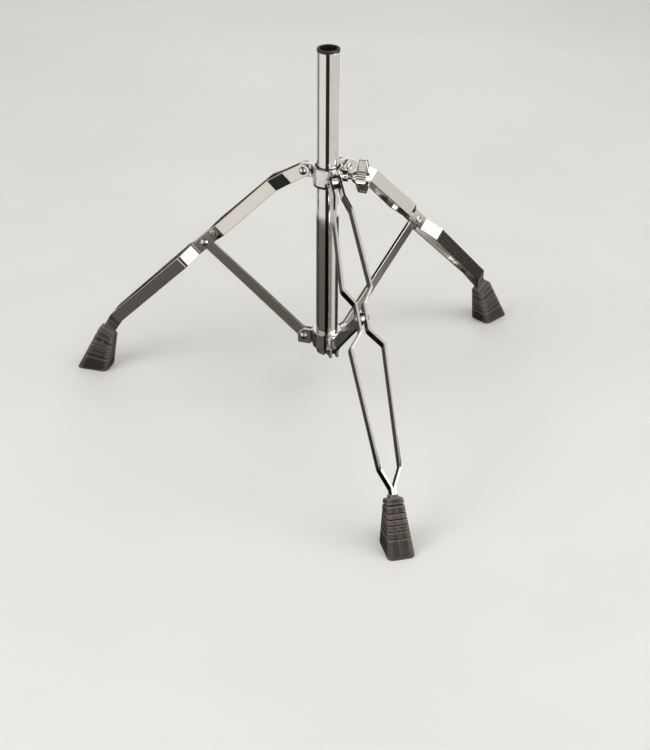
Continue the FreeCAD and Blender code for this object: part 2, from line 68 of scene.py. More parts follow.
def rounded(corners, radii, inset=0.0, steps=6):
    """A closed outline with rounded corners, drawn in by an inset.

    Each corner is moved along its bisector by the inset, then becomes an arc that
    touches both its sides; an inset makes outer corners tighter and inner ones wider.
    """
    corner = np.asarray(corners, float)
    back = np.roll(corner, 1, 0) - corner
    ahead = np.roll(corner, -1, 0) - corner
    back /= np.linalg.norm(back, axis=1, keepdims=True)
    ahead /= np.linalg.norm(ahead, axis=1, keepdims=True)
    bisector = (back + ahead) / np.linalg.norm(back + ahead, axis=1, keepdims=True)
    half = np.arccos(np.clip((back * ahead).sum(1, keepdims=True), -1, 1)) / 2
    winding = np.sign((corner[:, 0] * np.roll(corner[:, 1], -1)
                       - np.roll(corner[:, 0], -1) * corner[:, 1]).sum())
    outer = np.sign(ahead[:, :1] * back[:, 1:] - ahead[:, 1:] * back[:, :1]) * winding
    corner = corner + outer * bisector * inset / np.sin(half)
    radius = np.broadcast_to(np.asarray(radii, float), len(corner))[:, None]
    radius = np.maximum(radius - outer * inset * (radius > 0), 0)
    centre = corner + bisector * radius / np.sin(half)
    first = corner + back * radius / np.tan(half) - centre
    last = corner + ahead * radius / np.tan(half) - centre
    start = np.arctan2(first[:, 1:], first[:, :1])
    sweep = (np.arctan2(last[:, 1:], last[:, :1]) - start + np.pi) % (2 * np.pi) - np.pi
    angle = start + sweep * np.linspace(0, 1, steps)
    arc = centre[:, None] + radius[:, None] * np.stack([np.cos(angle), np.sin(angle)], -1)
    return arc.reshape(-1, 2)


def turned(profile, sides=72):
    """Grid of a profile of radius and height, carried round the upright axis."""
    profile = np.asarray(profile, float)
    turn = np.linspace(0, 2 * np.pi, sides, endpoint=False)
    radius, height = profile[:, :1], profile[:, 1:]
    return np.stack([radius * np.cos(turn), radius * np.sin(turn), height + 0 * turn], -1)


def stand(points, azimuth=0.0, radius=0.0, height=0.0):
    """Points given outward, sideways and up, stood at an azimuth round the tube's axis."""
    angle = math.radians(azimuth)
    out, side, up = points[..., 0] + radius, points[..., 1], points[..., 2] + height
    return np.stack([axis_x + out * math.cos(angle) - side * math.sin(angle),
                     axis_y + out * math.sin(angle) + side * math.cos(angle), up], -1)


def shell(points, ring=False, grain=None):
    """A closed surface from a grid whose rows close on themselves.

    Neighbouring rows are joined by quads. The first and last row are capped, or joined
    to each other in a ring. Grain is a position along, across and through the metal.
    """
    rows, columns = points.shape[:2]
    index = np.arange(rows * columns).reshape(rows, columns)
    lower = index if ring else index[:-1]
    upper = np.roll(index, -1, 0) if ring else index[1:]
    quads = np.stack([lower, np.roll(lower, -1, 1), np.roll(upper, -1, 1), upper], -1)
    faces = quads.reshape(-1, 4).tolist()
    if not ring:
        faces += [index[0, ::-1].tolist(), index[-1].tolist()]
    grain = points if grain is None else grain
    return points.reshape(-1, 3), faces, grain.reshape(-1, 3)


def build(name, shells, crease=35.0):
    """One object from closed shells in millimetres.

    Doubles are merged, which closes seams and poles, faces are turned outward, and
    edges sharper than the crease angle stay sharp.
    """
    starts = np.cumsum([0] + [len(points) for points, faces, grain in shells])
    points = np.concatenate([points for points, faces, grain in shells]) * MM
    grain = np.concatenate([grain for points, faces, grain in shells])
    faces = [[int(start) + corner for corner in face]
             for start, (_, shell_faces, _) in zip(starts, shells) for face in shell_faces]
    mesh = bpy.data.meshes.new(name)
    mesh.from_pydata(points.tolist(), [], faces)
    mesh.attributes.new("grain", "FLOAT_VECTOR", "POINT").data.foreach_set("vector", grain.ravel())
    tidy(mesh, crease)
    piece = bpy.data.objects.new(name, mesh)
    bpy.context.scene.collection.objects.link(piece)
    return piece


def tidy(mesh, crease):
    """Merges doubles, turns faces outward and shades smooth up to the crease angle."""
    work = bmesh.new()
    work.from_mesh(mesh)
    bmesh.ops.remove_doubles(work, verts=work.verts, dist=0.002 * MM)
    bmesh.ops.recalc_face_normals(work, faces=work.faces)
    work.to_mesh(mesh)
    work.free()
    mesh.shade_smooth()
    mesh.set_sharp_from_angle(angle=math.radians(crease))


def fit(piece, finish, body, plain_solid):
    """Gives a piece its material and body, and lets it stand for its plain solid."""
    flats = piece.modifiers.new("flat_faces", "WEIGHTED_NORMAL")
    flats.keep_sharp = True
    piece.data.materials.clear()
    piece.data.materials.append(finish)
    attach(piece, body)
    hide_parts(plain_solid)


def linear(hex_code):
    """An sRGB hex colour as linear RGBA, each channel through the sRGB curve."""
    srgb = np.array([int(hex_code[i:i + 2], 16) / 255 for i in (1, 3, 5)])
    flat = np.where(srgb <= 0.04045, srgb / 12.92, ((srgb + 0.055) / 1.055) ** 2.4)
    return (*flat.tolist(), 1.0)


def add_node(tree, kind, settings, inputs):
    """Adds a node: settings are its properties, inputs its sockets' values or links."""
    made = tree.nodes.new(kind)
    for key, value in settings.items():
        setattr(made, key, value)
    for key, value in inputs.items():
        if isinstance(value, bpy.types.NodeSocket):
            tree.links.new(value, made.inputs[key])
        else:
            made.inputs[key].default_value = value
    return made


def new_finish(name, **surface):
    """A material and its shader, with the values that are the same all over."""
    made = bpy.data.materials.new(name)
    made.use_nodes = True
    shader = made.node_tree.nodes["Principled BSDF"]
    for socket, value in surface.items():
        shader.inputs[socket.replace("_", " ")].default_value = value
    return made, made.node_tree, shader


def blotches(tree, where, size_mm, low, high):
    """Cloudy variation between two values, with clouds of a size in millimetres."""
    cloud = add_node(tree, "ShaderNodeTexNoise", {},
                     {"Vector": where, "Scale": 1000 / size_mm, "Detail": 3.0, "Roughness": 0.55})
    return add_node(tree, "ShaderNodeMapRange", {},
                    {"Value": cloud.outputs["Fac"], "From Min": 0.3, "From Max": 0.7,
                     "To Min": low, "To Max": high}).outputs["Result"]


def two_tones(tree, where, size_mm, first_hex, second_hex):
    """Cloudy variation between two colours, with clouds of a size in millimetres."""
    return add_node(tree, "ShaderNodeMix", {"data_type": "RGBA"},
                    {"Factor": blotches(tree, where, size_mm, 0.0, 1.0),
                     "A": linear(first_hex), "B": linear(second_hex)}).outputs["Result"]


def relief(tree, where, size_mm, depth_mm, strength, **cloud_inputs):
    """Bumps of a size and a depth in millimetres, as a normal."""
    cloud = add_node(tree, "ShaderNodeTexNoise", {},
                     {"Vector": where, "Scale": 1000 / size_mm, **cloud_inputs})
    return add_node(tree, "ShaderNodeBump", {},
                    {"Strength": strength, "Distance": depth_mm * MM,
                     "Height": cloud.outputs["Fac"]}).outputs["Normal"]


def link_finish(tree, shader, colour, roughness, normal):
    """Links a finish's patterns to its shader."""
    tree.links.new(colour, shader.inputs["Base Color"])
    tree.links.new(roughness, shader.inputs["Roughness"])
    tree.links.new(normal, shader.inputs["Normal"])


def polished_chrome():
    """Decorative chrome over buffed steel: a cool mirror, blurred a little where hands
    and the buffing wheel have hazed it, and never quite flat over a few centimetres."""
    made, tree, shader = new_finish("polished_chrome_plate", Metallic=1.0)
    place = add_node(tree, "ShaderNodeTexCoord", {}, {}).outputs["Object"]
    link_finish(tree, shader, two_tones(tree, place, 40, "#d3d3d1", "#dcdbd8"),
                blotches(tree, place, 14, 0.045, 0.09), relief(tree, place, 25, 0.06, 0.35))
    return made


polished = polished_chrome()
tube_profile = rounded([(tube_radius - tube_wall, tube_low[2]), (tube_radius, tube_low[2]),
                        (tube_radius, tube_high[2]), (tube_radius - tube_wall, tube_high[2])], 0.4)
base_tube = build("upright_tube", [shell(stand(turned(tube_profile, 96)), ring=True)])
fit(base_tube, polished, "root", "base_tube")

# ------------------------------------------------------------------ tube end plug
# Turned steel plug pressed into the tube's lower end and plated with it. Its wider foot
# stands below the collar, with a rounded edge and four upright slots in its wall.

plug_low, plug_high = box_mm("tube_end_plug")
plug_radius = (plug_high - plug_low)[0] / 2
plug_edge = 1.2
slot_half, slot_depth, slot_turn = 0.9, 3.5, 0.7


def slotted(grid):
    """Pushes the wall of a turned grid in where four upright slots cross it.

    The push is full within the slot's half width of the nearest of two crossed planes,
    fades over half as much again, and stops just under the tube.
    """
    out = np.linalg.norm(grid[..., :2], axis=-1, keepdims=True)
    near = np.abs(np.sin(2 * np.arctan2(grid[..., 1:2], grid[..., :1]) + slot_turn)) * out / 2
    push = np.clip((slot_half * 1.5 - near) / (slot_half * 0.5), 0, 1) * slot_depth
    below = np.clip((tube_low[2] - 0.6 - grid[..., 2:]) / 0.4, 0, 1)
    shrink = 1 - below * np.minimum(push, out * 0.8) / np.maximum(out, 0.01)
    return np.concatenate([grid[..., :2] * shrink, grid[..., 2:]], -1)


def rounded_over(edge, steps=5):
    """A rounded edge as two lists: how far each row is drawn in, one less the sine, and
    how far it lies below the face, one less the cosine, over a quarter turn."""
    turn = np.linspace(0, np.pi / 2, steps)
    return edge * (1 - np.sin(turn)), edge * (1 - np.cos(turn))


tube_inside = tube_radius - tube_wall - 0.05
edge_in, edge_up = rounded_over(plug_edge)
foot_heights = np.linspace(plug_low[2] + plug_edge, tube_low[2], 12)
plug_profile = np.concatenate([
    [(0.0, plug_low[2]), (3.0, plug_low[2]), (6.0, plug_low[2])],
    np.stack([plug_radius - edge_in, plug_low[2] + edge_up], -1),
    np.stack([np.full(12, plug_radius), foot_heights], -1),
    [(tube_inside, tube_low[2] + 0.05), (tube_inside, plug_high[2] - 1),
     (tube_inside - 1, plug_high[2]), (0, plug_high[2])]])
end_plug = build("slotted_end_plug", [shell(stand(slotted(turned(plug_profile, 144))))])
fit(end_plug, polished, "root", "tube_end_plug")

# ------------------------------------------------------------------ top bushing
# Black nylon bushing pressed into the tube's upper end and moulded with a lip that
# covers the tube's cut edge. The next tube slides in it.

bush_low, bush_high = box_mm("tube_top_bushing")
bush_bore = 9.56


def moulded_nylon():
    """Black nylon: a satin skin with the faint spark-eroded grain of its mould, which is
    drawn half a millimetre wide, coarser than real, so that it shows."""
    made, tree, shader = new_finish("moulded_black_nylon", IOR=1.53)
    place = add_node(tree, "ShaderNodeTexCoord", {}, {}).outputs["Object"]
    link_finish(tree, shader, two_tones(tree, place, 6, "#121213", "#1d1c1c"),
                blotches(tree, place, 9, 0.38, 0.5), relief(tree, place, 0.5, 0.05, 0.3))
    return made


nylon = moulded_nylon()
lip_low = tube_high[2] + 0.05
bush_corners = [(bush_bore, bush_low[2]), (tube_inside, bush_low[2]), (tube_inside, lip_low),
                (tube_radius, lip_low), (tube_radius, bush_high[2]), (bush_bore, bush_high[2])]
bush_profile = rounded(bush_corners, [0.8, 0.8, 0, 0.4, 0.9, 0.6])
bushing = build("nylon_top_bushing", [shell(stand(turned(bush_profile, 96)), ring=True)])
fit(bushing, nylon, "root", "tube_top_bushing")

# ------------------------------------------------------------------ fixed collar
# Zinc die casting, plated like the tube. Three pairs of square ears stand out from it
# on short necks and take the braces; one upper corner of each ear is cut off.

LEG_AZIMUTHS = {"right": 30.0, "left": 150.0, "front": 270.0}
joint_at = {joint["name"]: np.array(joint["pos_m"]) / MM
            for joint in frame["joints"] if "pos_m" in joint}


def side_spot(joint):
    """Radius and height of a joint as seen from the side of its leg."""
    x, y, z = joint_at[joint]
    return np.array([math.hypot(x - axis_x, y - axis_y), z])


lower_pivot = side_spot("leg_fold")
mid_pivot = side_spot("front_mid_pivot")
upper_pivot = side_spot("front_upper_pivot")
fixed_low, fixed_high = box_mm("lower_collar")
collar_radius, collar_bore, collar_edge = 17.0, 12.72, 1.0
ear_gap, ear_gauge, ear_edge = 4.6, 3.2, 0.5


def plate(outline, gauge, edge, radii):
    """Grid of a flat plate: an outline carried across the thickness, and drawn in along
    a quarter circle at both faces. It lies outward and up, with its thickness sideways."""
    inset, drop = rounded_over(edge)
    half = [np.insert(rounded(outline, radii, drawn), 1, side, axis=1)
            for drawn, side in zip(inset, gauge / 2 - drop)]
    return np.array(half + [row * (1, -1, 1) for row in reversed(half)])


def slab(outline, low, high, edge, radii):
    """Grid of a level plate between two heights, with its outline outward and sideways."""
    points = plate(outline, high - low, edge, radii)[..., [0, 2, 1]]
    return points + (0, 0, (low + high) / 2)


def joined(name, shells, crease=35.0):
    """One solid from closed shells that run into each other."""
    base = build(name, shells[:1])
    for other_shell in shells[1:]:
        other = build("tool", [other_shell])
        union = base.modifiers.new("union", "BOOLEAN")
        union.operation = "UNION"
        union.solver = "EXACT"
        union.object = other
        finished = base.evaluated_get(bpy.context.evaluated_depsgraph_get())
        whole = bpy.data.meshes.new_from_object(finished)
        base.modifiers.clear()
        base.data = whole
        bpy.data.objects.remove(other)
    base.data.name = name
    tidy(base.data, crease)
    return base


def cast_chrome():
    """Plated zinc casting: the mirror is a little softer than on the tube, and rolls
    gently because the casting was tumbled before it was plated, not ground flat."""
    made, tree, shader = new_finish("plated_zinc_casting", Metallic=1.0)
    place = add_node(tree, "ShaderNodeTexCoord", {}, {}).outputs["Object"]
    link_finish(tree, shader, two_tones(tree, place, 18, "#cfcecb", "#d9d8d4"),
                blotches(tree, place, 5, 0.09, 0.16), relief(tree, place, 7, 0.08, 0.5, Detail=1.0))
    return made


def collar_ring(bore, low, high):
    """Ring of a collar, its outer edges rounded over."""
    return turned(rounded([(bore, low), (collar_radius, low), (collar_radius, high), (bore, high)],
                          [0.4, collar_edge, collar_edge, 0.4]), 96)


casting = cast_chrome()
ear_low, ear_high = lower_pivot[1] - 9.6, lower_pivot[1] + 9.0
ear_in, ear_out = 18.5, lower_pivot[0] + 7.2
ear_outline = [(ear_in, ear_low), (ear_out, ear_low), (ear_out, ear_high - 7.0),
               (ear_out - 7.0, ear_high), (ear_in, ear_high)]
neck_outline = [(13.5, -5.6), (15.6, -5.6), (18.0, -4.0), (20.1, -4.0),
                (20.1, 4.0), (18.0, 4.0), (15.6, 5.6), (13.5, 5.6)]
neck_radii = [0, 0, 1.5, 0.4, 0.4, 1.5, 0, 0]
neck = slab(neck_outline, lower_pivot[1] - 8, lower_pivot[1] + 8, 1.0, neck_radii)
collar_shells = [shell(stand(collar_ring(collar_bore, fixed_low[2], fixed_high[2])), ring=True)]
for azimuth in LEG_AZIMUTHS.values():
    collar_shells.append(shell(stand(neck, azimuth)))
    for side in (1, -1):
        ear = plate(ear_outline, ear_gauge, ear_edge, [0.5, 1.5, 1.5, 1.5, 0.5])
        ear[..., 1] += side * (ear_gap + ear_gauge) / 2
        collar_shells.append(shell(stand(ear, azimuth)))
fixed_collar = joined("fixed_collar_casting", collar_shells)
fit(fixed_collar, casting, "root", "lower_collar")

# ------------------------------------------------------------------ set screw
# Zinc-plated steel set screw, driven in from the back with a hexagon key. It keeps the
# fixed collar from turning on the tube.

SET_SCREW_AZIMUTH = 90.0
screw_low, screw_high = box_mm("lower_collar_screw")
screw_radius = (screw_high - screw_low)[2] / 2 - 0.02
screw_face = screw_high[1] - axis_y - 0.1
socket_share = 0.52


def screw_steel():
    """Zinc-plated screw steel: a duller, slightly yellow-grey metal with a fine grain."""
    made, tree, shader = new_finish("zinc_plated_screw_steel", Metallic=1.0)
    place = add_node(tree, "ShaderNodeTexCoord", {}, {}).outputs["Object"]
    link_finish(tree, shader, two_tones(tree, place, 4, "#b7b5ae", "#c8c6c0"),
                blotches(tree, place, 3, 0.2, 0.32), relief(tree, place, 0.8, 0.04, 0.3))
    return made


def outward(grid):
    """A grid turned round the upright axis, laid over so that its axis points outward."""
    return grid[..., [2, 1, 0]] * (1, 1, -1)


def socket_screw(radius, face, depth, length):
    """Grid of a set screw with a six-sided socket: the six-sided rows are the distance
    to a hexagon's side in each direction."""
    turn = np.linspace(0, 2 * np.pi, 72, endpoint=False)
    flat = radius * socket_share / np.cos((turn + np.pi / 6) % (np.pi / 3) - np.pi / 6)
    rows = [(0 * turn, face - length), (0 * turn + radius, face - length),
            (0 * turn + radius, face - 0.3), (0 * turn + radius - 0.3, face),
            (flat, face), (flat * 0.98, face - depth), (0 * turn, face - depth - 0.4)]
    return np.array([np.stack([out * np.cos(turn), out * np.sin(turn), 0 * turn + level], -1)
                     for out, level in rows])


steel = screw_steel()
set_screw_grid = outward(socket_screw(screw_radius, screw_face, 1.6, 3.9))
set_screw = build("socket_set_screw",
                  [shell(stand(set_screw_grid, SET_SCREW_AZIMUTH, 0, lower_pivot[1]))])
fit(set_screw, steel, "root", "lower_collar_screw")

# ------------------------------------------------------------------ sliding collar
# Die casting like the fixed collar. Three round-ended lugs with flared roots take the
# legs between their straps, and a boss on its right side takes the clamp screw.

WING_AZIMUTH = 330.0
slide_low, slide_high = box_mm("upper_collar")
liner_radius = 14.5
boss_height = joint_at["wing_turn"][2]
boss_radius, boss_reach, boss_hole = 6.5, 24.0, 4.1
lug_gauge, lug_half = 8.0, 7.5
lug_low, lug_high = upper_pivot[1] - lug_half, slide_high[2] - 0.15
lug_tip = upper_pivot[0] + lug_half
lug_outline = [(15.0, lug_low), (lug_tip, lug_low), (lug_tip, lug_high), (15.0, lug_high)]
root_outline = [(14.6, -7.2), (15.3, -7.2), (17.9, -3.95), (24.0, -3.95),
                (24.0, 3.95), (17.9, 3.95), (15.3, 7.2), (14.6, 7.2)]
root_radii = [0, 0, 3.0, 0.4, 0.4, 3.0, 0, 0]
lug = plate(lug_outline, lug_gauge, 1.2, [0.5, 7.3, 7.3, 0.5])
root = slab(root_outline, lug_low + 0.1, lug_high - 0.1, 0.4, root_radii)
slide_ring = collar_ring(liner_radius + 0.02, slide_low[2], slide_high[2])
slide_shells = [shell(stand(slide_ring), ring=True)]
for azimuth in LEG_AZIMUTHS.values():
    slide_shells += [shell(stand(lug, azimuth)), shell(stand(root, azimuth))]
boss_profile = rounded([(boss_hole, 14.7), (boss_radius + 1.6, 14.7), (boss_radius, 18.2),
                        (boss_radius, boss_reach), (boss_hole, boss_reach)], [0, 0, 3.0, 0.9, 0.5])
boss = stand(outward(turned(boss_profile)), WING_AZIMUTH, 0, boss_height)
slide_shells.append(shell(boss, ring=True))
sliding_collar = joined("sliding_collar_casting", slide_shells)
fit(sliding_collar, casting, "sliding_collar", "upper_collar")

# ------------------------------------------------------------------ collar liner
# Black nylon sleeve snapped into the sliding collar, so that plating never runs on
# plating. Its lip shows as a black band under the collar; the band also stands in for the
# collar's shadow and its dark reflection on the tube, so it is partly a real lip and partly
# painted shade.

liner_low, liner_high = box_mm("collar_liner")
liner_bore = 12.76
# The lip's black band is partly painted shade: it stands in for the collar's shadow and dark
# reflection on the tube.
lip_radius = 16.2
liner_profile = rounded([(liner_bore, liner_low[2]), (lip_radius, liner_low[2]),
                         (lip_radius, slide_low[2] - 0.02), (liner_radius, slide_low[2] - 0.02),
                         (liner_radius, liner_high[2] - 0.2), (liner_bore, liner_high[2] - 0.2)],
                        [0.5, 0.6, 0, 0, 0.3, 0.3])
liner = build("nylon_collar_sleeve", [shell(stand(turned(liner_profile, 96)), ring=True)])
fit(liner, nylon, "sliding_collar", "collar_liner")

# ------------------------------------------------------------------ clamp
# A nylon shoe bears on the tube, a rolled-thread screw pushes it, and a die-cast wing
# nut is cast on the screw's outer end: a fluted barrel and two ribbed wings.

shoe_start, shoe_end, shoe_radius = 13.0, 17.5, 3.9
screw_start, screw_end, thread_radius = 17.6, 44.0, 3.95
thread_pitch, thread_depth = 1.25, 0.65
hub_start, hub_end = 29.0, 48.0
wing_gauge, wing_rim, wing_lean, lean_start = 3.4, 1.7, 0.25, 5.0


def at_clamp(grid):
    """A grid given outward, sideways and up from the clamp's axis, put in its place."""
    return stand(grid, WING_AZIMUTH, 0, boss_height)


def at_boss(grid):
    """A grid with its axis upright, laid along the clamp's axis."""
    return at_clamp(outward(grid))


def threaded(start, end, radius, pitch, depth):
    """Grid of a screw: its radius falls and rises as a triangle wave of the distance
    along it less one pitch to a turn, and fades out at both ends."""
    turn = np.linspace(0, 2 * np.pi, 48, endpoint=False)
    along = np.linspace(start, end, int((end - start) / pitch * 8))[:, None]
    wave = np.abs(((along / pitch - turn / (2 * np.pi)) % 1) * 2 - 1)
    ends = np.clip(np.minimum(along - start, end - along) / pitch, 0, 1)
    out = radius - depth * (1 - ends * wave)
    body = np.stack([out * np.cos(turn), out * np.sin(turn), along + 0 * turn], -1)
    tips = body[[0, -1]] * (0, 0, 1)
    return np.concatenate([tips[:1], body, tips[1:]])


def fluted(profile, flutes, depth, start, end):
    """Turned grid whose radius dips in flutes between two heights, by a cosine of the
    turn raised to the power 1.5, and fades out at both heights."""
    grid = turned(profile, flutes * 8)
    turn = np.arctan2(grid[..., 1:2], grid[..., :1])
    along = grid[..., 2:]
    fade = np.clip(np.minimum(along - start, end - along) / 0.6, 0, 1)
    dip = depth * fade * (0.5 - 0.5 * np.cos(flutes * turn)) ** 1.5
    out = np.linalg.norm(grid[..., :2], axis=-1, keepdims=True)
    return np.concatenate([grid[..., :2] * (1 - dip / np.maximum(out, 0.01)), along], -1)


def swept(grid):
    """Leans both wings back: sideways by a quarter of the distance past the lean's start."""
    lean = wing_lean * np.maximum(np.abs(grid[..., 2]) - lean_start, 0)
    return grid + np.stack([0 * lean, lean, 0 * lean], -1)


def wing(side):
    """Grid of one wing: a plate whose faces step down inside a raised rim."""
    outline = [(32.0, 4.5), (32.0, 10.5), (34.0, 19.8), (43.4, 19.8), (46.2, 11.0), (46.2, 4.5)]
    radii = [0.6, 3.0, 2.0, 1.2, 14.0, 0.6]
    edge_inset, edge_drop = rounded_over(0.8)
    inset = np.concatenate([[wing_rim + 0.9, wing_rim + 0.5, wing_rim], edge_inset])
    half = wing_gauge / 2
    across = np.concatenate([[half - 1.1, half - 1.0, half], half - edge_drop])
    rows = [np.insert(rounded(outline, radii, drawn), 1, out, axis=1)
            for drawn, out in zip(inset, across)]
    grid = np.array(rows + [row * (1, -1, 1) for row in reversed(rows)])
    return swept(grid) * (1, 1, side)


def wing_ribs(side):
    """Grids of the upright ribs that cross a wing's faces, inside its rim."""
    ribs = []
    for out in (35.6, 38.0, 40.4, 42.8):
        top = 18.4 if out > 37 else 16.5
        outline = [(out - 0.55, 5.0), (out + 0.55, 5.0), (out + 0.55, top), (out - 0.55, top)]
        ribs.append(swept(plate(outline, wing_gauge - 0.2, 0.35, 0.5)) * (1, 1, side))
    return ribs


def wing_bow():
    """Grid of the bowed bar that thickens the outer edge of both wings."""
    outline = [(42.0, 19.9), (43.8, 19.9), (46.8, 11.0), (46.8, -11.0),
               (43.8, -19.9), (42.0, -19.9), (45.0, -11.0), (45.0, 11.0)]
    return swept(plate(outline, 5.4, 0.6, [0.7, 0.7, 14.0, 14.0, 0.7, 0.7, 14.0, 14.0]))


shoe_profile = rounded([(0, shoe_start), (shoe_radius, shoe_start), (shoe_radius, shoe_end),
                        (0, shoe_end)], [0, 0.6, 0.6, 0])
shoe = build("nylon_clamp_shoe", [shell(at_boss(turned(shoe_profile, 48)))])
fit(shoe, nylon, "clamp_shoe", "clamp_shoe")

screw_grid = threaded(screw_start, screw_end, thread_radius, thread_pitch, thread_depth)
clamp_screw = build("threaded_clamp_screw", [shell(at_boss(screw_grid))], 50)
fit(clamp_screw, steel, "wing_nut", "clamp_screw")

hub_corners = [(0, hub_start + 0.6), (4.8, hub_start), (6.0, hub_start), (7.8, 32.6),
               (7.6, 45.6), (5.4, hub_end), (0, hub_end)]
hub_profile = rounded(hub_corners, [0, 0, 0.8, 2.0, 1.2, 1.5, 0])
# The flutes need a row every 0.7 mm along the hub.
hub_dense = np.concatenate([[hub_profile[0]]] + [
    np.linspace(a, b, max(2, int(np.hypot(*(b - a)) / 0.7) + 1))[1:]
    for a, b in zip(hub_profile[:-1], hub_profile[1:])])
nut_shells = [shell(at_boss(fluted(hub_dense, 16, 1.0, 33.0, 45.0))), shell(at_clamp(wing_bow()))]
for side in (1, -1):
    nut_shells.append(shell(at_clamp(wing(side))))
    nut_shells += [shell(at_clamp(rib)) for rib in wing_ribs(side)]
wing_nut = joined("cast_wing_nut", nut_shells)
fit(wing_nut, casting, "wing_nut", "wing_nut")

# ------------------------------------------------------------------ leg straps
# Each leg is a pair of flat steel straps on edge, bent in a press: close at the collar,
# bowed, pinched on to the brace, splayed wide and together again in the foot.

LEG_SLOPE, TOE_SLOPE = math.radians(45.0), math.radians(58.0)
strap_half, strap_gauge, strap_edge = 7.5, 2.5, 0.45
knee_run, ankle_run, toe_length, elbow_bend, strap_bend = 120.4, 164.0, 47.0, 16.0, 6.0
row_gap = 6.0
down_slope = np.array([math.cos(LEG_SLOPE), -math.sin(LEG_SLOPE)])
off_slope = np.array([math.sin(LEG_SLOPE), math.cos(LEG_SLOPE)])
top_along = (upper_pivot - mid_pivot) @ down_slope
top_off = (upper_pivot - mid_pivot) @ off_slope


def strap_line():
    """Centre line of a leg seen from the side, as distance along the slope from the
    middle pivot and distance off it: three straight runs with an arc at the knee and at
    the ankle."""
    toe_turn = TOE_SLOPE - LEG_SLOPE
    corners = [(top_along, top_off), (-knee_run, 0), (ankle_run, 0),
               (ankle_run + toe_length * math.cos(toe_turn), -toe_length * math.sin(toe_turn))]
    return rounded(corners, [0, elbow_bend, elbow_bend, 0], steps=9)[8:-8]


def spread_line():
    """A strap's run in plan: distance along the slope from the middle pivot and distance
    from the leg's middle plane, with an arc at each bend."""
    upper_half = [(-200.0, 5.55), (-138.9, 5.55), (-knee_run, 10.0), (-32.0, 15.8), (-15.0, 4.4)]
    lower_half = [(15.0, 4.4), (32.5, 18.5), (ankle_run, 11.3), (185.5, 1.35), (230.0, 1.35)]
    corners = upper_half + lower_half
    radii = [0] + [strap_bend] * (len(corners) - 2) + [0]
    return rounded(corners, radii, steps=7)[6:-6]


def slope_of(line):
    """Angle of a line at each of its points, as the mean of the steps on both sides."""
    step = np.gradient(line, axis=0)
    return np.arctan2(step[:, 1], step[:, 0])


def edge_section(half, gauge, edge):
    """Section of a strap with rounded edges: which side of the strap's middle line each
    point is on, how far from that line, and where it lies across the thickness."""
    inset, drop = rounded_over(edge)
    across = gauge / 2 - drop
    side = np.repeat([1.0, -1.0], 2 * len(inset))
    inset = np.tile(np.concatenate([inset, inset[::-1]]), 2)
    across = np.concatenate([across, -across[::-1], -across, across[::-1]])
    return side, half - inset, across


def strap(hand):
    """Grid of one strap in its leg's frame, and the metal's grain.

    Rows run down the strap and are dense at its bends. A point is the middle pivot, plus
    its distance down the slope, plus its height off the slope between the strap's two
    edges, plus sideways the plan's spread; the thickness is set off square to the plan.
    """
    line, plan = strap_line(), spread_line()
    side, half, across = edge_section(strap_half, strap_gauge, strap_edge)
    end_turn = np.linspace(0, np.pi / 2, 10)[1:, None]
    low_end = line[-1, 0]
    bends = np.concatenate([plan[1:-1, 0], line[1:-1, 0]])
    bends = np.unique(np.round(bends[(bends > top_along + 1) & (bends < low_end)], 3))
    fill = np.arange(top_along + 5, low_end, row_gap)
    fill = fill[np.min(np.abs(fill[:, None] - bends), 1) > row_gap / 4]
    straight = np.sort(np.concatenate([bends, fill, [low_end]]))[:, None]
    along = np.concatenate([top_along - half * np.cos(end_turn), straight + 0 * half])
    tilt = np.interp(along, line[:, 0], slope_of(line))
    off = np.interp(along, line[:, 0], line[:, 1]) + side * half / np.cos(tilt)
    before = along - top_along
    top_tilt = tilt[0, 0]
    top_line = top_off + before * math.tan(top_tilt) + side * half / np.cos(tilt)
    off = np.where(before < 0, top_line, off)
    round_end = before < -side * half * math.sin(top_tilt)
    circle = top_off + side * np.sqrt(np.maximum(half ** 2 - before ** 2, 0))
    off = np.where(round_end, circle, off)
    spread = np.interp(along, plan[:, 0], plan[:, 1])
    turn = np.interp(along, plan[:, 0], slope_of(plan))
    grain = np.stack([along, off, across + 0 * along], -1)
    down = along - across * np.sin(turn)
    out = mid_pivot[0] + down * down_slope[0] + off * off_slope[0]
    up = mid_pivot[1] + down * down_slope[1] + off * off_slope[1]
    points = np.stack([out, hand * (spread + across * np.cos(turn)), up], -1)
    return points, grain


def rolled_chrome():
    """Plated flat bar: the rolled face is only brushed before plating, so the mirror is
    streaked along the bar and breaks up into a fine satin grain close to. The grain is
    in millimetres: streaks 0.6 by 10 and satin 0.7, coarser than real so that they show."""
    made, tree, shader = new_finish("plated_rolled_bar", Metallic=1.0)
    place = add_node(tree, "ShaderNodeAttribute", {"attribute_name": "grain"}, {}).outputs["Vector"]
    drawn = add_node(tree, "ShaderNodeMapping", {}, {"Vector": place, "Scale": (0.06, 1.0, 1.0)})
    streak = add_node(tree, "ShaderNodeTexNoise", {},
                      {"Vector": drawn.outputs["Vector"], "Scale": 1.6, "Detail": 3.0})
    satin = add_node(tree, "ShaderNodeTexNoise", {}, {"Vector": place, "Scale": 1.4, "Detail": 4.0})
    both = add_node(tree, "ShaderNodeMath", {"operation": "ADD"},
                    {0: streak.outputs["Fac"], 1: satin.outputs["Fac"]})
    brushed = add_node(tree, "ShaderNodeBump", {},
                       {"Strength": 0.14, "Distance": 0.03 * MM, "Height": both.outputs["Value"]})
    tint = add_node(tree, "ShaderNodeMix", {"data_type": "RGBA"},
                    {"Factor": streak.outputs["Fac"],
                     "A": linear("#cfcdc8"), "B": linear("#dddbd6")})
    haze = add_node(tree, "ShaderNodeMapRange", {},
                    {"Value": streak.outputs["Fac"], "From Min": 0.3, "From Max": 0.7,
                     "To Min": 0.08, "To Max": 0.15})
    link_finish(tree, shader, tint.outputs["Result"], haze.outputs["Result"],
                brushed.outputs["Normal"])
    return made


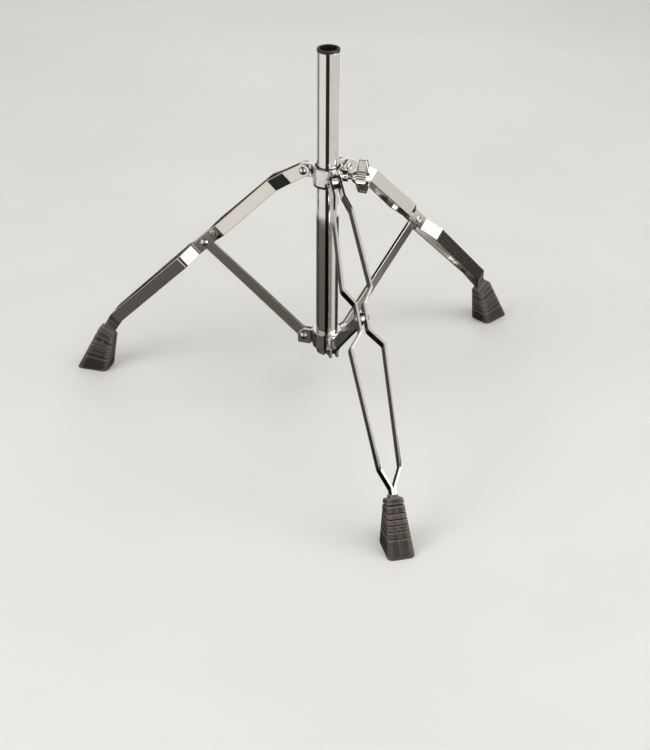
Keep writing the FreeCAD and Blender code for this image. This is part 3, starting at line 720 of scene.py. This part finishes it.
rolled = rolled_chrome()
for leg, azimuth in LEG_AZIMUTHS.items():
    for letter, hand in (("a", 1), ("b", -1)):
        strap_grid, strap_grain = strap(hand)
        bent = build(leg + "_leg_strap_" + letter,
                     [shell(stand(strap_grid, azimuth), grain=strap_grain)])
        fit(bent, rolled, leg + "_leg", leg + "_strap_" + letter)

# ------------------------------------------------------------------ braces
# Flat steel bars with round ends, punched and plated like the straps. One joins each
# pair of ears on the fixed collar to the middle of a leg.

brace_half, brace_gauge, brace_edge = 6.5, 4.0, 0.55
brace_length = np.linalg.norm(mid_pivot - lower_pivot)
brace_run = (mid_pivot - lower_pivot) / brace_length
brace_ends = [(-brace_half, -brace_half), (brace_length + brace_half, -brace_half),
              (brace_length + brace_half, brace_half), (-brace_half, brace_half)]
brace_grid = plate(brace_ends, brace_gauge, brace_edge, 6.4)
brace_out = lower_pivot[0] + brace_grid[..., 0] * brace_run[0] - brace_grid[..., 2] * brace_run[1]
brace_up = lower_pivot[1] + brace_grid[..., 0] * brace_run[1] + brace_grid[..., 2] * brace_run[0]
brace_points = np.stack([brace_out, brace_grid[..., 1], brace_up], -1)
brace_grain = brace_grid[..., [0, 2, 1]]
for leg, azimuth in LEG_AZIMUTHS.items():
    flat_bar = build(leg + "_flat_brace", [shell(stand(brace_points, azimuth), grain=brace_grain)])
    fit(flat_bar, rolled, leg + "_brace", leg + "_brace")

# ------------------------------------------------------------------ rivets and washers
# Semi-tubular steel rivets, plated before they are set: a ball head on one side, and
# on the other the shank rolled over into a ring. Washers keep brace and straps apart.

rivet_radius, head_radius, head_height = 3.0, 4.9, 3.0
curl_middle, curl_width, curl_height = 3.1, 1.05, 0.95
washer_radius, washer_gauge = 5.6, 0.85
GRIPS = {"upper": 2 * 5.55 + strap_gauge, "mid": 2 * 4.4 + strap_gauge,
         "lower": ear_gap + 2 * ear_gauge}
RIVET_SPOTS = {"upper": upper_pivot, "mid": mid_pivot, "lower": lower_pivot}


def sideways(grid):
    """A grid turned round the upright axis, laid over so that its axis points sideways."""
    return grid[..., [0, 2, 1]]


def rivet(grip):
    """Grid of a rivet: a cap of a ball, a shank, and a rolled ring round a dimple."""
    ball = (head_radius ** 2 + head_height ** 2) / (2 * head_height)
    rise = np.linspace(math.asin(1 - head_height / ball), np.pi / 2, 9)
    head = np.stack([ball * np.cos(rise), grip / 2 + head_height - ball + ball * np.sin(rise)], -1)
    curl = np.linspace(-np.pi * 0.25, np.pi * 1.25, 12)
    ring = np.stack([curl_middle + curl_width * np.cos(curl),
                     -grip / 2 - 0.35 - curl_height * np.sin(curl)], -1)
    dimple = [(1.6, -grip / 2 + 1.5), (0, -grip / 2 + 1.8)]
    shank = [(rivet_radius, grip / 2 + 0.02), (rivet_radius, -grip / 2)]
    return turned(np.concatenate([head[::-1], shank, ring, dimple]), 40)


for leg, azimuth in LEG_AZIMUTHS.items():
    for place, grip in GRIPS.items():
        pin = build(leg + "_" + place + "_pivot_rivet",
                    [shell(stand(sideways(rivet(grip)), azimuth, *RIVET_SPOTS[place]))])
        carrier = "root" if place == "lower" else leg + "_leg"
        fit(pin, polished, carrier, leg + "_" + place + "_rivet")
    washers = []
    for side in (1, -1):
        outer = side * (GRIPS["mid"] / 2 - strap_gauge)
        inner = outer - side * washer_gauge
        disc = rounded([(rivet_radius, inner), (washer_radius, inner),
                        (washer_radius, outer), (rivet_radius, outer)], 0.2)
        washers.append(shell(stand(sideways(turned(disc, 48)), azimuth, *mid_pivot), ring=True))
    fit(build(leg + "_pair_of_washers", washers), steel, leg + "_leg",
        leg + "_mid_washers")

# ------------------------------------------------------------------ rubber feet
# Solid black rubber, moulded round the ends of the straps: a cap over a deep groove, five
# finer grooves fanning towards the floor, a smooth skirt, and a line down the outer face.

toe_down = np.array([math.cos(TOE_SLOPE), 0, -math.sin(TOE_SLOPE)])
toe_across = np.array([math.sin(TOE_SLOPE), 0, math.cos(TOE_SLOPE)])
ankle = mid_pivot + ankle_run * down_slope
crown_drop, toe_rivet_drop, sole_reach = 31.0, 8.0, 300.0
crown_spot = np.array([ankle[0], 0, ankle[1]]) + crown_drop * toe_down
sole_spot = np.array([sole_reach, 0, 0])
toe_rivet_spot = crown_spot + toe_rivet_drop * toe_down
# Share of the way from crown to sole, with each groove's width and depth.
GROOVES = {0.12: (2.6, 2.2), 0.25: (2.1, 1.4), 0.345: (2.1, 1.4), 0.44: (2.1, 1.4),
           0.54: (2.1, 1.4), 0.66: (2.1, 1.4), 0.965: (1.2, 0.5)}
foot_run = 56.5
# Half length, half width and corner radius of the top and of the bottom.
crown_size, sole_size = (11.0, 9.0, 4.0), (20.0, 15.0, 6.0)
crown_edge, sole_edge, fine_depth = 1.8, 1.0, 0.9
corner_steps = 7
side_shares = np.array([0.12, 0.3, 0.42, 0.455, 0.48, 0.5, 0.52, 0.545, 0.58, 0.7, 0.88])


def foot_outline(half_long, half_wide, corner):
    """A rounded rectangle with extra points along its sides, and its outward normals.

    The extra points lie close together at the middle of each side, for a fine groove.
    """
    corners = [(-half_long, -half_wide), (half_long, -half_wide),
               (half_long, half_wide), (-half_long, half_wide)]
    arcs = rounded(corners, corner, steps=corner_steps).reshape(4, corner_steps, 2)
    share = side_shares[:, None]
    sides = arcs[:, -1:] * (1 - share) + np.roll(arcs[:, :1], -1, 0) * share
    bend = np.linspace(0, np.pi / 2, corner_steps) + np.arange(4)[:, None] * np.pi / 2 - np.pi
    bend = np.concatenate([bend, np.repeat(bend[:, -1:], len(side_shares), 1)], 1).ravel()
    outline = np.concatenate([arcs, sides], 1).reshape(-1, 2)
    return outline, np.stack([np.cos(bend), np.sin(bend)], -1)


def foot_rows(spot, along, outline):
    """Points and normals of an outline laid on a plane through a spot."""
    across = np.array([0, 1, 0])
    flat, normal = outline
    return (spot + flat[:, :1] * along + flat[:, 1:] * across,
            normal[:, :1] * along + normal[:, 1:] * across)


def foot():
    """Grid of a foot in its leg's frame.

    Rows blend from the crown's outline to the sole's. Each groove sets its rows in by
    a rounded dip, the first and last rows are drawn in along quarter circles, and the
    fine groove is a bell-shaped dip at the middle of the outer side.
    """
    crown, crown_normal = foot_rows(crown_spot, toe_across, foot_outline(*crown_size))
    sole, sole_normal = foot_rows(sole_spot, np.array([1.0, 0, 0]), foot_outline(*sole_size))
    shape = np.array([-1, -0.7, -0.45, -0.2, 0, 0.2, 0.45, 0.7, 1])
    blend = [np.linspace(0, 1, 40)]
    for middle, (width, depth) in GROOVES.items():
        blend.append(middle + shape * width / 2 / foot_run)
    top_edge, floor_edge = crown_edge / foot_run, sole_edge / foot_run
    blend += [rounded_over(top_edge)[1], 1 - rounded_over(floor_edge)[1]]
    v = np.unique(np.round(np.concatenate(blend), 5))[:, None]
    inset = crown_edge * (1 - np.sqrt(1 - np.clip(1 - v / top_edge, 0, 1) ** 2))
    inset += sole_edge * (1 - np.sqrt(1 - np.clip((v - 1) / floor_edge + 1, 0, 1) ** 2))
    for middle, (width, depth) in GROOVES.items():
        reach = np.clip(np.abs(v - middle) / (width / 2 / foot_run), 0, 1)
        inset = inset + depth * (0.5 + 0.5 * np.cos(np.pi * reach))
    side, step = np.divmod(np.arange(len(crown)), corner_steps + len(side_shares))
    middle_step = corner_steps + len(side_shares) // 2
    centre_line = np.exp(-((step - middle_step) / 1.1) ** 2) * (side == 1)
    centre_line = centre_line * np.clip((0.93 - v) / 0.03, 0, 1) * np.clip((v - 0.13) / 0.02, 0, 1)
    inset = inset + fine_depth * centre_line
    points = crown + (sole - crown) * v[..., None]
    normal = crown_normal + (sole_normal - crown_normal) * v[..., None]
    normal /= np.linalg.norm(normal, axis=-1, keepdims=True)
    return points - normal * inset[..., None]


def foot_neck():
    """Grid of the low ledge that closes the foot round the straps: an outline that
    shrinks as it rises over the crown."""
    rows = []
    for rise, grow in ((3.3, -0.4), (3.2, 0.5), (2.6, 1.0), (1.2, 1.3), (-1.0, 1.6)):
        neck, _ = foot_rows(crown_spot - rise * toe_down, toe_across,
                            foot_outline(7.6 + grow, 3.0 + grow, 1.2))
        rows.append(neck)
    return np.array(rows)


def moulded_rubber():
    """Black rubber gone warm grey with use: matt, blotched by dust and wear, with paler
    edges that are partly scuffing and partly a painted highlight, and the pitted skin of a
    cast mould, drawn coarse enough to show."""
    made, tree, shader = new_finish("moulded_foot_rubber", IOR=1.5)
    place = add_node(tree, "ShaderNodeTexCoord", {}, {}).outputs["Object"]
    edge = add_node(tree, "ShaderNodeNewGeometry", {}, {}).outputs["Pointiness"]
    # Convex edges, found by pointiness, are mixed towards pale grey: partly scuffing, partly a
    # painted highlight.
    scuff_and_highlight_mask = add_node(tree, "ShaderNodeMapRange", {},
                    {"Value": edge, "From Min": 0.505, "From Max": 0.56,
                     "To Min": 0.0, "To Max": 0.8})
    scuffed_and_highlit_colour = add_node(tree, "ShaderNodeMix", {"data_type": "RGBA"},
                       {"Factor": scuff_and_highlight_mask.outputs["Result"], "B": linear("#8a8178"),
                        "A": two_tones(tree, place, 16, "#1f1c19", "#2c2824")})
    pits = relief(tree, place, 1.1, 0.15, 0.45, Detail=4.0, Roughness=0.6)
    link_finish(tree, shader, scuffed_and_highlit_colour.outputs["Result"], blotches(tree, place, 7, 0.55, 0.78), pits)
    return made


rubber = moulded_rubber()
toe_half, toe_radius = 1.35 + strap_gauge / 2 - 0.05, 2.45
toe_profile = rounded([(0, -toe_half), (toe_radius, -toe_half), (toe_radius, toe_half),
                       (0, toe_half)], [0, 0.3, 0.3, 0])
toe_grid = sideways(turned(toe_profile, 32))
for leg, azimuth in LEG_AZIMUTHS.items():
    foot_shells = [shell(stand(foot(), azimuth)), shell(stand(foot_neck(), azimuth))]
    rubber_foot = build(leg + "_rubber_foot", foot_shells, 50)
    fit(rubber_foot, rubber, leg + "_leg", leg + "_foot")
    toe_pin = build(leg + "_toe_pin", [shell(stand(toe_grid, azimuth, *toe_rivet_spot[[0, 2]]))])
    fit(toe_pin, steel, leg + "_leg", leg + "_toe_rivet")

# ------------------------------------------------------------------ floor, light and camera
# A pale studio floor that curves up into a wall all round, with soft boxes above. Only
# the plating sees the lit panels at the sides and the dark disc under the stand, which
# give its mirror bright and dark to break against.


def stage_paint():
    """Matt studio paint, faintly uneven, as rolled on."""
    made, tree, shader = new_finish("pale_studio_paint", Roughness=0.85)
    place = add_node(tree, "ShaderNodeTexCoord", {}, {}).outputs["Object"]
    tree.links.new(two_tones(tree, place, 400, "#d2d0cc", "#d6d5d2"), shader.inputs["Base Color"])
    return made


cove_turn = np.linspace(0, np.pi / 2, 16)
studio = np.concatenate([
    [(0.0, -0.02)], np.stack([3500 + 1200 * np.sin(cove_turn), 1200 * (1 - np.cos(cove_turn))], -1),
    [(4700, 4000)]])


def stage_piece(name, points, faces, finish):
    """A smooth stage object with one finish, from points in millimetres and faces."""
    mesh = bpy.data.meshes.new(name)
    mesh.from_pydata((points.reshape(-1, 3) * MM).tolist(), [], faces)
    mesh.shade_smooth()
    mesh.materials.append(finish)
    piece = bpy.data.objects.new(name, mesh)
    bpy.context.scene.collection.objects.link(piece)
    return piece


floor_points, floor_faces, _ = shell(stand(turned(studio, 64)))
floor = stage_piece("studio_floor", floor_points, floor_faces[:-2], stage_paint())
floor.visible_glossy = False


def for_plating_only(name, points, finish):
    """A stage sheet from a grid of millimetre points, which only reflections see."""
    rows, columns = points.shape[:2]
    index = np.arange(rows * columns).reshape(rows, columns)
    faces = np.stack([index[:-1, :-1], index[:-1, 1:], index[1:, 1:], index[1:, :-1]], -1)
    sheet = stage_piece(name, points, faces.reshape(-1, 4).tolist(), finish)
    for kind in ("camera", "diffuse", "transmission", "volume_scatter", "shadow"):
        setattr(sheet, "visible_" + kind, False)
    return sheet


def glowing_sheet(name, points, level, hex_code):
    """A sheet for the plating only that shines, with a strength given at each point."""
    made = bpy.data.materials.new(name)
    made.use_nodes = True
    tree = made.node_tree
    tree.nodes.remove(tree.nodes["Principled BSDF"])
    strength = add_node(tree, "ShaderNodeAttribute", {"attribute_name": "level"}, {}).outputs["Fac"]
    glow = add_node(tree, "ShaderNodeEmission", {},
                    {"Color": linear(hex_code), "Strength": strength})
    tree.links.new(glow.outputs["Emission"], tree.nodes["Material Output"].inputs["Surface"])
    made.cycles.emission_sampling = "NONE"
    sheet = for_plating_only(name, points, made)
    sheet.data.attributes.new("level", "FLOAT", "POINT").data.foreach_set("value", level.ravel())


PANEL_REACH = 1300.0


def light_panel(name, low, high, edges, levels, hex_code):
    """A tall lit panel, bent round the tube's axis. Its strength is given at some
    azimuths, counted from +X, and runs straight between them, and its top fades out.
    Part of a panel may hang below the floor, as beside a table."""
    azimuth, rise = np.meshgrid(np.linspace(edges[0], edges[-1], 121), np.linspace(0, 1, 21))
    turn = np.radians(azimuth)
    points = np.stack([axis_x + PANEL_REACH * np.cos(turn), axis_y + PANEL_REACH * np.sin(turn),
                       low + (high - low) * rise], -1)
    top_fade = np.clip((1 - rise) / 0.1, 0, 1) if high > 0 else 1.0
    glowing_sheet(name, points, np.interp(azimuth, edges, levels) * top_fade, hex_code)


def view_way(azimuth, elevation):
    """The direction from the part to a viewer: azimuth 0 looks along +Y, from the front."""
    around, up = math.radians(azimuth), math.radians(elevation)
    return np.array([math.sin(around) * math.cos(up), -math.cos(around) * math.cos(up),
                     math.sin(up)])


def level_way(azimuth):
    """The level direction to the right of a viewer at an azimuth."""
    return np.array([math.cos(math.radians(azimuth)), math.sin(math.radians(azimuth)), 0.0])


light_aim = np.array([axis_x, axis_y, 180.0])


def light_card(name, azimuth, elevation, distance, width, height, strength, hex_code):
    """A flat lit card that faces the part from a direction."""
    way, level = view_way(azimuth, elevation), level_way(azimuth)
    across, rise = np.meshgrid(np.linspace(-0.5, 0.5, 9), np.linspace(-0.5, 0.5, 9))
    points = (light_aim + distance * way + across[..., None] * width * level
              + rise[..., None] * height * np.cross(way, level))
    glowing_sheet(name, points, strength + 0 * across, hex_code)


light_panel("left_panel", -900, 1500, [148, 162, 230, 233], [0, 1.0, 1.0, 0], "#fffaf4")
light_panel("right_panel", 0, 950, [-94, -91, -60, -50, -18, -9, 30, 36],
            [0, 2.0, 2.0, 6.0, 6.0, 0.5, 0.3, 0], "#fffcf8")
light_panel("right_low_panel", -900, 0, [-94, -91, 30, 36], [0, 0.85, 0.85, 0], "#fffaf4")
light_panel("back_panel", -900, 1100, [34, 42, 84, 96, 138, 146],
            [0, 1.2, 1.2, 0.6, 0.6, 0], "#fbfaff")
light_card("front_card", 22, 56, 1500, 1300, 700, 0.85, "#fffaf4")

# A table top of dark gloss, which the plating mirrors as a dull warm grey.
table_radius = 520.0
table_finish, _, _ = new_finish("dark_table_gloss", Metallic=1.0, Roughness=0.05,
                                Base_Color=linear("#5d5a57"))
ring, turn = np.meshgrid([0.0, table_radius], np.linspace(0, 2 * np.pi, 97), indexing="ij")
table = np.stack([axis_x + ring * np.cos(turn), axis_y + ring * np.sin(turn), 0 * ring - 0.01], -1)
for_plating_only("dark_table_card", table, table_finish)


def soft_box(name, azimuth, elevation, distance, width, height, power):
    """A rectangular area light that looks at the part from a direction, with its power in
    watts. The plating doesn't see it, because the panels and cards are there for that."""
    light = bpy.data.lights.new(name, "AREA")
    light.shape = "RECTANGLE"
    light.size, light.size_y, light.energy = width * MM, height * MM, power
    lamp = bpy.data.objects.new(name, light)
    bpy.context.scene.collection.objects.link(lamp)
    way = view_way(azimuth, elevation)
    lamp.location = (light_aim + distance * way) * MM
    lamp.rotation_euler = Vector(way).to_track_quat("Z", "Y").to_euler()
    lamp.visible_glossy = False


soft_box("key_box", -70, 35, 2200, 1200, 1600, 20)
soft_box("fill_box", 65, 40, 2200, 1000, 1600, 13)
soft_box("front_box", 22, 56, 2000, 1200, 900, 10)
soft_box("rim_box", 170, 30, 2400, 1600, 800, 9)
soft_box("ceiling_box", 0, 90, 3600, 8000, 8000, 160)

world = bpy.data.worlds.new("studio_air")
bpy.context.scene.world = world
world.use_nodes = True
air = world.node_tree.nodes["Background"].inputs
air["Color"].default_value = linear("#3a3a3c")
air["Strength"].default_value = 0.6

# The camera looks down at the stand from its front and a little from the left. It aims
# close to the tube's axis and low, and is rolled by a third of a degree.
CAMERA_AZIMUTH, CAMERA_RISE, CAMERA_ROLL = -14.4, 31.59, 0.292
CAMERA_REACH, AIM_HEIGHT, AIM_SHIFT = 1869.78, 35.26, -2.01
roll = math.radians(CAMERA_ROLL)
back, level = view_way(CAMERA_AZIMUTH, CAMERA_RISE), level_way(CAMERA_AZIMUTH)
upward = np.cross(back, level)
aim = np.array([axis_x, axis_y, AIM_HEIGHT]) + AIM_SHIFT * level
right = level * math.cos(roll) + upward * math.sin(roll)
matrix = np.eye(4)
matrix[:3, :3] = np.stack([right, np.cross(back, right), back], -1)
matrix[:3, 3] = (aim + CAMERA_REACH * back) * MM
lens = bpy.data.cameras.new("camera")
lens.lens = 74.88
camera = bpy.data.objects.new("camera", lens)
bpy.context.scene.collection.objects.link(camera)
camera.matrix_world = Matrix(matrix.tolist())
bpy.context.scene.camera = camera
bpy.context.scene.view_settings.view_transform = "Standard"

bpy.context.view_layer.update()
